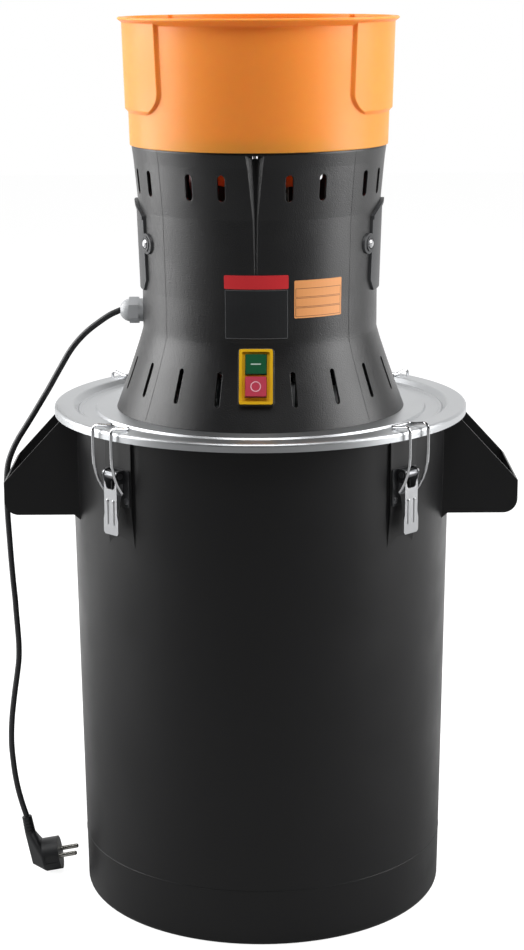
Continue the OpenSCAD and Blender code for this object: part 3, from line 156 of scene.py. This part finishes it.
def material(name, colour, rough, metal=0.0, grain=0.0, grain_scale=900, vary=0.04, spread=0.06,
             stretch=(1, 1, 1), coat=0.0, spec=0.5, rings=False, edge=0.0, crease=None, glow=0.0):
    """Principled surface: colour and roughness vary a little over the piece, grain is its fine relief.

    rings makes the relief circles around the axis, as a spun sheet shows them. edge is the radius by which
    the shading rounds the edges, and crease gives the height of a crease round the piece, a radius for it
    and the half width of the place at the front that it leaves out. glow is the light that a thin wall
    lets through.
    """
    mat = bpy.data.materials.new(name)
    mat.use_nodes = True
    tree = mat.node_tree
    nodes, link = tree.nodes, tree.links.new
    shader = nodes["Principled BSDF"]
    shader.inputs["Metallic"].default_value = metal
    shader.inputs["Specular IOR Level"].default_value = spec
    shader.inputs["Coat Weight"].default_value = coat
    shader.inputs["Coat Roughness"].default_value = COAT_ROUGH
    shader.inputs["Subsurface Weight"].default_value = glow
    shader.inputs["Subsurface Radius"].default_value = GLOW_REACH
    shader.inputs["Subsurface Scale"].default_value = 1
    place = nodes.new("ShaderNodeTexCoord")
    soft = nodes.new("ShaderNodeTexNoise")
    soft.inputs["Scale"].default_value = 14
    soft.inputs["Detail"].default_value = 5
    link(place.outputs["Object"], soft.inputs["Vector"])
    tone = nodes.new("ShaderNodeMixRGB")
    tone.inputs["Color1"].default_value = [c * (1 - vary) for c in colour[:3]] + [1]
    tone.inputs["Color2"].default_value = [min(1, c * (1 + vary)) for c in colour[:3]] + [1]
    link(soft.outputs["Fac"], tone.inputs["Fac"])
    link(tone.outputs["Color"], shader.inputs["Base Color"])
    gloss = nodes.new("ShaderNodeMapRange")
    gloss.inputs["From Min"].default_value = 0.3
    gloss.inputs["From Max"].default_value = 0.7
    gloss.inputs["To Min"].default_value = max(0.02, rough - spread)
    gloss.inputs["To Max"].default_value = min(1.0, rough + spread)
    link(soft.outputs["Fac"], gloss.inputs["Value"])
    link(gloss.outputs["Result"], shader.inputs["Roughness"])
    if grain:
        fine = nodes.new("ShaderNodeTexNoise")
        fine.inputs["Scale"].default_value = grain_scale
        fine.inputs["Detail"].default_value = 3
        if rings:
            split = nodes.new("ShaderNodeSeparateXYZ")
            link(place.outputs["Object"], split.inputs["Vector"])
            flat = nodes.new("ShaderNodeCombineXYZ")
            link(split.outputs["X"], flat.inputs["X"])
            link(split.outputs["Y"], flat.inputs["Y"])
            radius = nodes.new("ShaderNodeVectorMath")
            radius.operation = "LENGTH"
            link(flat.outputs["Vector"], radius.inputs[0])
            line = nodes.new("ShaderNodeCombineXYZ")
            link(radius.outputs["Value"], line.inputs["X"])
            link(line.outputs["Vector"], fine.inputs["Vector"])
        else:
            scale = nodes.new("ShaderNodeMapping")
            scale.inputs["Scale"].default_value = stretch
            link(place.outputs["Object"], scale.inputs["Vector"])
            link(scale.outputs["Vector"], fine.inputs["Vector"])
        bump = nodes.new("ShaderNodeBump")
        bump.inputs["Strength"].default_value = grain
        bump.inputs["Distance"].default_value = GRAIN_DEPTH
        link(fine.outputs["Fac"], bump.inputs["Height"])
        link(bump.outputs["Normal"], shader.inputs["Normal"])
        if edge:
            link(rounded(nodes, link, place, edge, crease), bump.inputs["Normal"])
    return mat


MATERIALS = {
    "bucket_plastic": material("bucket_plastic", srgb(18, 18, 19), 0.4, grain=0.12, grain_scale=1400,
                               spec=0.3, edge=0.001),
    "lid_steel": material("lid_steel", srgb(190, 192, 194), 0.36, metal=1.0, grain=0.03, grain_scale=500,
                          rings=True, vary=0.02, spread=0.03),
    "gasket_rubber": material("gasket_rubber", srgb(22, 22, 23), 0.7, grain=0.2),
    "latch_black": material("latch_black", srgb(34, 35, 37), 0.4, grain=0.1),
    "latch_zinc": material("latch_zinc", srgb(174, 175, 177), 0.3, metal=0.9, grain=0.06,
                           grain_scale=500, stretch=(1, 1, 0.06)),
    "wire_zinc": material("wire_zinc", srgb(200, 201, 203), 0.12, metal=1.0, grain=0.02),
    "pin_steel": material("pin_steel", srgb(120, 121, 123), 0.3, metal=1.0, grain=0.03),
    "rivet_alu": material("rivet_alu", srgb(96, 97, 99), 0.35, metal=0.8, grain=0.05),
    "housing_plastic": material("housing_plastic", srgb(20, 20, 21), 0.35, grain=0.8, grain_scale=950,
                                edge=0.0008, crease=(DECK + FLARE_H, 0.013, 0.042)),
    "screw_steel": material("screw_steel", srgb(200, 200, 202), 0.25, metal=0.9, grain=0.1),
    "hopper_plastic": material("hopper_plastic", srgb(240, 148, 58), 0.42, grain=0.12, grain_scale=1200,
                               vary=0.02, spec=0.35, edge=0.002, glow=0.5),
    "gate_plastic": material("gate_plastic", srgb(46, 47, 49), 0.48, grain=0.3, grain_scale=1800),
    "chute_plastic": material("chute_plastic", srgb(205, 202, 194), 0.5, grain=0.1),
    "bezel_yellow": material("bezel_yellow", srgb(222, 172, 14), 0.35, grain=0.05),
    "switch_black": material("switch_black", srgb(24, 24, 25), 0.45, grain=0.1),
    "button_green": material("button_green", srgb(18, 82, 50), 0.3, grain=0.05, coat=0.3),
    "button_red": material("button_red", srgb(186, 60, 80), 0.3, grain=0.05, coat=0.3),
    "gland_grey": material("gland_grey", srgb(178, 180, 182), 0.35, grain=0.08),
    "cord_rubber": material("cord_rubber", srgb(34, 35, 37), 0.42, grain=0.1, grain_scale=900),
    "plug_black": material("plug_black", srgb(28, 29, 31), 0.42, grain=0.15),
    "pin_nickel": material("pin_nickel", srgb(190, 188, 182), 0.22, metal=1.0, grain=0.05),
    "stator_steel": material("stator_steel", srgb(110, 112, 115), 0.45, metal=0.8, grain=0.4,
                             grain_scale=1500, stretch=(0.02, 0.02, 1)),
    "copper": material("copper", srgb(176, 96, 52), 0.35, metal=0.8, grain=0.5, grain_scale=1200,
                       stretch=(1, 1, 0.1)),
    "bracket_alu": material("bracket_alu", srgb(176, 178, 180), 0.45, metal=0.8, grain=0.3),
    "bearing_steel": material("bearing_steel", srgb(190, 191, 193), 0.25, metal=0.95, grain=0.1),
    "brass": material("brass", srgb(196, 156, 82), 0.3, metal=0.95, grain=0.1),
    "carbon": material("carbon", srgb(32, 32, 33), 0.6, grain=0.2),
    "capacitor_red": material("capacitor_red", srgb(112, 30, 26), 0.35, grain=0.1),
}

for part in frame["record"]["subparts"]:
    obj = frame["nodes"][part["node"]]
    for place in obj.material_slots:
        place.material = MATERIALS[part["material_slot"]]

PRINT = {
    "dark": material("print_dark", srgb(24, 25, 27), 0.4, grain=0.05),
    "light": material("print_light", srgb(95, 96, 98), 0.5, grain=0.05),
    "red": material("print_red", srgb(206, 40, 46), 0.42, grain=0.05),
    "orange": material("print_orange", srgb(222, 150, 88), 0.5, grain=0.05),
    "brown": material("print_brown", srgb(120, 72, 44), 0.5, grain=0.05),
    "seam": material("seam_dark", srgb(8, 8, 9), 0.6, grain=0.05),
    "mark_on": material("mark_on", srgb(176, 196, 184), 0.4, grain=0.05),
    "mark_off": material("mark_off", srgb(226, 172, 182), 0.4, grain=0.05),
}


# ---------------------------------------------------------------- mesh helpers
def mesh_object(name, verts, faces, mat, body):
    mesh = bpy.data.meshes.new(name)
    mesh.from_pydata([tuple(v) for v in verts], [], faces)
    mesh.validate()
    bm = bmesh.new()
    bm.from_mesh(mesh)
    bmesh.ops.recalc_face_normals(bm, faces=bm.faces)
    bm.to_mesh(mesh)
    bm.free()
    mesh.materials.append(mat)
    obj = bpy.data.objects.new(name, mesh)
    scene.collection.objects.link(obj)
    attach(obj, body)


PRINT_BASE = 0.00002


def sticker(name, a0, a1, z0, z1, mat, lift=0.0, thick=0.00025, corner=0.0012):
    """A thin printed plate on the housing between two angles and two heights, with rounded corners."""
    width = math.radians(a1 - a0) * WAIST
    outline = []
    for cx, cz, start in ((width - corner, z1 - corner, 0), (corner, z1 - corner, 90),
                          (corner, z0 + corner, 180), (width - corner, z0 + corner, 270)):
        for i in range(5):
            t = math.radians(start + 22.5 * i)
            outline.append((cx + corner * math.cos(t), cz + corner * math.sin(t)))
    columns = max(6, int(width / 0.004))
    bm = bmesh.new()
    ring = [bm.verts.new((x, 0, z)) for x, z in outline]
    bm.faces.new(ring)
    for i in range(1, columns):
        cut = width * i / columns
        bmesh.ops.bisect_plane(bm, geom=bm.verts[:] + bm.edges[:] + bm.faces[:], dist=1e-7,
                               plane_co=(cut, 0, 0), plane_no=(1, 0, 0))
    steps = max(2, int((z1 - z0) / 0.012))
    for i in range(1, steps):
        bmesh.ops.bisect_plane(bm, geom=bm.verts[:] + bm.edges[:] + bm.faces[:], dist=1e-7,
                               plane_co=(0, 0, z0 + (z1 - z0) * i / steps), plane_no=(0, 0, 1))
    made = bmesh.ops.extrude_face_region(bm, geom=bm.faces[:])
    outer = {v for v in made["geom"] if isinstance(v, bmesh.types.BMVert)}
    for v in bm.verts:
        out = lift + (thick if v in outer else PRINT_BASE)
        v.co = on_housing(a0 + math.degrees(v.co.x / WAIST), v.co.z, out)
    bmesh.ops.recalc_face_normals(bm, faces=bm.faces)
    mesh = bpy.data.meshes.new(name)
    bm.to_mesh(mesh)
    bm.free()
    mesh.materials.append(mat)
    obj = bpy.data.objects.new(name, mesh)
    scene.collection.objects.link(obj)
    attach(obj, "mill")


def frame_lines(name, a0, a1, z0, z1, mat, line=0.0004):
    """A thin printed outline."""
    da = math.degrees(line / WAIST)
    for side, b0, b1, y0, y1 in (("top", a0, a1, z1 - line, z1), ("foot", a0, a1, z0, z0 + line),
                                 ("left", a0, a0 + da, z0 + line, z1 - line),
                                 ("right", a1 - da, a1, z0 + line, z1 - line)):
        sticker(name + "_" + side, b0, b1, y0, y1, mat, 0.00026, 0.00006, line * 0.3)


# ---------------------------------------------------------------- cord
ROUTE_MM = [
    (-138.93, 4.37, 600),
    (-150, 4.5, 595), (-162, 5, 587), (-173, 5, 578.5), (-183, 5, 568.5), (-191.5, 5, 557.5),
    (-199, 5, 545), (-206, 5, 533), (-213.5, 5, 520), (-221.5, 5, 507), (-229.5, 5, 494),
    (-237.5, 5, 481.5), (-245.5, 5, 469), (-252, 5, 456.5), (-256.8, 5, 443), (-258.8, 5, 428.5),
    (-259.2, 5, 412.5), (-259.3, 5, 396), (-258.8, 5, 380), (-258.1, 5, 364), (-257.4, 5, 348),
    (-256.5, 4.5, 332), (-255.5, 4, 316), (-254.2, 3, 300), (-253.4, 2.5, 284), (-252.5, 2, 268),
    (-251.8, 1.5, 252), (-252.2, 1, 236), (-254.3, 1, 220), (-256.9, 1, 204), (-259.2, 0.5, 188),
    (-261.2, 0.5, 172), (-262.4, 0.5, 156), (-262.6, 0, 140), (-261.6, 0, 124), (-260, 0, 108),
    (-257.4, 0, 92), (-253.8, 0, 76.5), (-249.37, 0, 61.16)]
CORD_D = 0.006


def smooth_route(points, per=5):
    """Catmull-Rom curve through the points."""
    pts = [points[0] * 2 - points[1]] + points + [points[-1] * 2 - points[-2]]
    out = []
    for i in range(1, len(pts) - 2):
        a, b, c, d = pts[i - 1:i + 3]
        for k in range(per):
            t = k / per
            out.append(0.5 * ((2 * b) + (c - a) * t + (2 * a - 5 * b + 4 * c - d) * t * t
                              + (3 * b - a - 3 * c + d) * t ** 3))
    out.append(points[-1])
    return out


def power_cord():
    route = smooth_route([Vector(p) * MM for p in ROUTE_MM])
    curve = bpy.data.curves.new("cord", "CURVE")
    curve.dimensions = "3D"
    curve.bevel_depth = CORD_D / 2
    curve.bevel_resolution = 6
    curve.use_fill_caps = True
    spline = curve.splines.new("POLY")
    spline.points.add(len(route) - 1)
    for point, at in zip(spline.points, route):
        point.co = (*at, 1)
    curve.materials.append(MATERIALS["cord_rubber"])
    obj = bpy.data.objects.new("cord", curve)
    scene.collection.objects.link(obj)
    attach(obj, "mill")
    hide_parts("power_cord")


power_cord()

# ---------------------------------------------------------------- printed plates on the housing
sticker("label_strip", -14.9, 15.2, 0.6375, 0.6506, PRINT["red"])
sticker("label_plate", -14.9, 15.2, 0.5896, 0.6371, PRINT["dark"])
frame_lines("label_outline", -14.5, 14.8, 0.5904, 0.6365, PRINT["light"])
sticker("label_notice", 18.0, 43.5, 0.609, 0.645, PRINT["orange"])
for row in range(3):
    z0 = 0.6105 + 0.0092 * row
    frame_lines("notice_row_%d" % row, 18.6, 42.9, z0, z0 + 0.0085, PRINT["brown"])


# ---------------------------------------------------------------- lines where the mould's four sides met
SEAM = 0.00035
for angle in (-131, -49, 49, 131):
    half = math.degrees(SEAM / 2 / WAIST)
    sticker("seam_%d" % (angle + 180), angle - half, angle + half, DECK + 0.002, UPPER[-1][0] - 0.001,
            PRINT["seam"], thick=0.0001, corner=SEAM * 0.3)

# ---------------------------------------------------------------- marks on the buttons
TILT = math.atan((FOOT - WAIST) / FLARE_H)
SWITCH_R = house_r(SWITCH_Z) + BEZEL_OUT
MARK_T = 0.00015


def at_switch(x, y, z):
    """A point in the switch's frame: z points out of the housing."""
    c, s = math.cos(TILT), math.sin(TILT)
    return in_head((x, -SWITCH_R + y * s - z * c, SWITCH_Z + y * c + z * s))


def flat_mark(name, outline, hole, y, z, mat, body):
    """A thin raised mark on a button, with an optional hole."""
    verts, faces = [], []
    n = len(outline)
    for level in (z, z + MARK_T):
        verts += [at_switch(px, y + py, level) for px, py in outline]
        if hole:
            verts += [at_switch(px, y + py, level) for px, py in hole]
    step = n * (2 if hole else 1)
    for i in range(n):
        j = (i + 1) % n
        faces.append((i, j, step + j, step + i))
        if hole:
            faces.append((n + j, n + i, step + n + i, step + n + j))
            faces.append((step + i, step + j, step + n + j, step + n + i))
            faces.append((j, i, n + i, n + j))
    if not hole:
        faces.append(tuple(range(step, step + n)))
        faces.append(tuple(range(n - 1, -1, -1)))
    mesh_object(name, verts, faces, mat, body)


def circle(r, n=40):
    return [(r * math.cos(2 * math.pi * i / n), r * math.sin(2 * math.pi * i / n)) for i in range(n)]


flat_mark("mark_on", [(-0.0048, -0.0006), (0.0048, -0.0006), (0.0048, 0.0006), (-0.0048, 0.0006)],
          None, 0.0117, 0.0056, PRINT["mark_on"], "start_button")
flat_mark("mark_off", circle(0.005), circle(0.00405), -0.0099, 0.008, PRINT["mark_off"], "stop_button")


# ---------------------------------------------------------------- floor and light
WORLD = (0.3, 0.95, 0.03, 1.0)
BACK_RISE = math.radians(10)
SWEEP = (-0.1, 1.3)
FLOOR_SIZE = 8
FLOOR_MATT, FLOOR_SHADE, FLOOR_WHITE = 0.36, 0.3, 0.92


def straight_look(nodes, link, path):
    """1 for what the camera sees, also through glass."""
    return math_node(nodes, link, "MAXIMUM", path.outputs["Is Camera Ray"],
                     path.outputs["Is Transmission Ray"])


def stage():
    """Pale floor: white with the object's shadow to the camera and in gloss, matt as it lights the object.

    Gloss sees it white only where it runs up to the sweep behind the object, as the front is unlit.
    """
    mesh = bpy.data.meshes.new("floor")
    size = FLOOR_SIZE
    mesh.from_pydata([(-size, -size, 0), (size, -size, 0), (size, size, 0), (-size, size, 0)], [],
                     [(0, 1, 2, 3)])
    floor = bpy.data.objects.new("floor", mesh)
    mat = bpy.data.materials.new("floor")
    mat.use_nodes = True
    nodes, link = mat.node_tree.nodes, mat.node_tree.links.new
    nodes.clear()
    out = nodes.new("ShaderNodeOutputMaterial")
    plain = nodes.new("ShaderNodeBsdfDiffuse")
    plain.inputs["Color"].default_value = (FLOOR_MATT, FLOOR_MATT, FLOOR_MATT, 1)
    shade = nodes.new("ShaderNodeBsdfDiffuse")
    shade.inputs["Color"].default_value = (FLOOR_SHADE, FLOOR_SHADE, FLOOR_SHADE, 1)
    glow = nodes.new("ShaderNodeEmission")
    glow.inputs["Strength"].default_value = FLOOR_WHITE
    both = nodes.new("ShaderNodeAddShader")
    link(shade.outputs[0], both.inputs[0])
    link(glow.outputs[0], both.inputs[1])
    place = nodes.new("ShaderNodeTexCoord")
    split = nodes.new("ShaderNodeSeparateXYZ")
    link(place.outputs["Object"], split.inputs["Vector"])
    sweep = nodes.new("ShaderNodeMapRange")
    sweep.interpolation_type = "SMOOTHSTEP"
    sweep.inputs["From Min"].default_value = SWEEP[0]
    sweep.inputs["From Max"].default_value = SWEEP[1]
    link(split.outputs["Y"], sweep.inputs["Value"])
    path = nodes.new("ShaderNodeLightPath")
    gloss = math_node(nodes, link, "MULTIPLY", path.outputs["Is Glossy Ray"], sweep.outputs["Result"])
    share = math_node(nodes, link, "MAXIMUM", straight_look(nodes, link, path), gloss)
    pick = nodes.new("ShaderNodeMixShader")
    link(share, pick.inputs["Fac"])
    link(plain.outputs[0], pick.inputs[1])
    link(both.outputs[0], pick.inputs[2])
    link(pick.outputs[0], out.inputs["Surface"])
    mesh.materials.append(mat)
    scene.collection.objects.link(floor)


def studio():
    """White sweep behind the object, as gloss shows it, and a dark room; the camera sees plain white."""
    world = bpy.data.worlds.new("studio")
    world.use_nodes = True
    nodes, link = world.node_tree.nodes, world.node_tree.links.new
    back = nodes["Background"]
    place = nodes.new("ShaderNodeTexCoord")
    facing = nodes.new("ShaderNodeVectorMath")
    facing.operation = "DOT_PRODUCT"
    facing.inputs[1].default_value = (0, math.cos(BACK_RISE), math.sin(BACK_RISE))
    link(place.outputs["Generated"], facing.inputs[0])
    ramp = nodes.new("ShaderNodeMapRange")
    ramp.interpolation_type = "SMOOTHSTEP"
    for socket, value in zip(("From Min", "From Max", "To Min", "To Max"), WORLD):
        ramp.inputs[socket].default_value = value
    link(facing.outputs["Value"], ramp.inputs["Value"])
    path = nodes.new("ShaderNodeLightPath")
    pick = nodes.new("ShaderNodeMix")
    pick.data_type = "FLOAT"
    link(straight_look(nodes, link, path), pick.inputs[0])
    link(ramp.outputs["Result"], pick.inputs[2])
    pick.inputs[3].default_value = 1
    link(pick.outputs[0], back.inputs["Strength"])
    back.inputs["Color"].default_value = (1, 1, 1, 1)
    scene.world = world


def lamp(name, at, aim, size, power):
    data = bpy.data.lights.new(name, "AREA")
    data.shape = "RECTANGLE"
    data.size, data.size_y = size
    data.energy = power
    obj = bpy.data.objects.new(name, data)
    obj.location = at
    obj.rotation_euler = (Vector(aim) - Vector(at)).to_track_quat("-Z", "Y").to_euler()
    scene.collection.objects.link(obj)


scene.view_settings.view_transform = "Standard"
stage()
studio()
lamp("left", (-2.15, 0.25, 1.35), (0, 0, 0.8), (2.0, 2.4), 92)
lamp("right", (2.2, -0.3, 1.35), (0, 0, 0.8), (1.6, 2.4), 78)
lamp("top", (0, -1.2, 3.0), (0, 0, 0.5), (1.6, 1.2), 42)
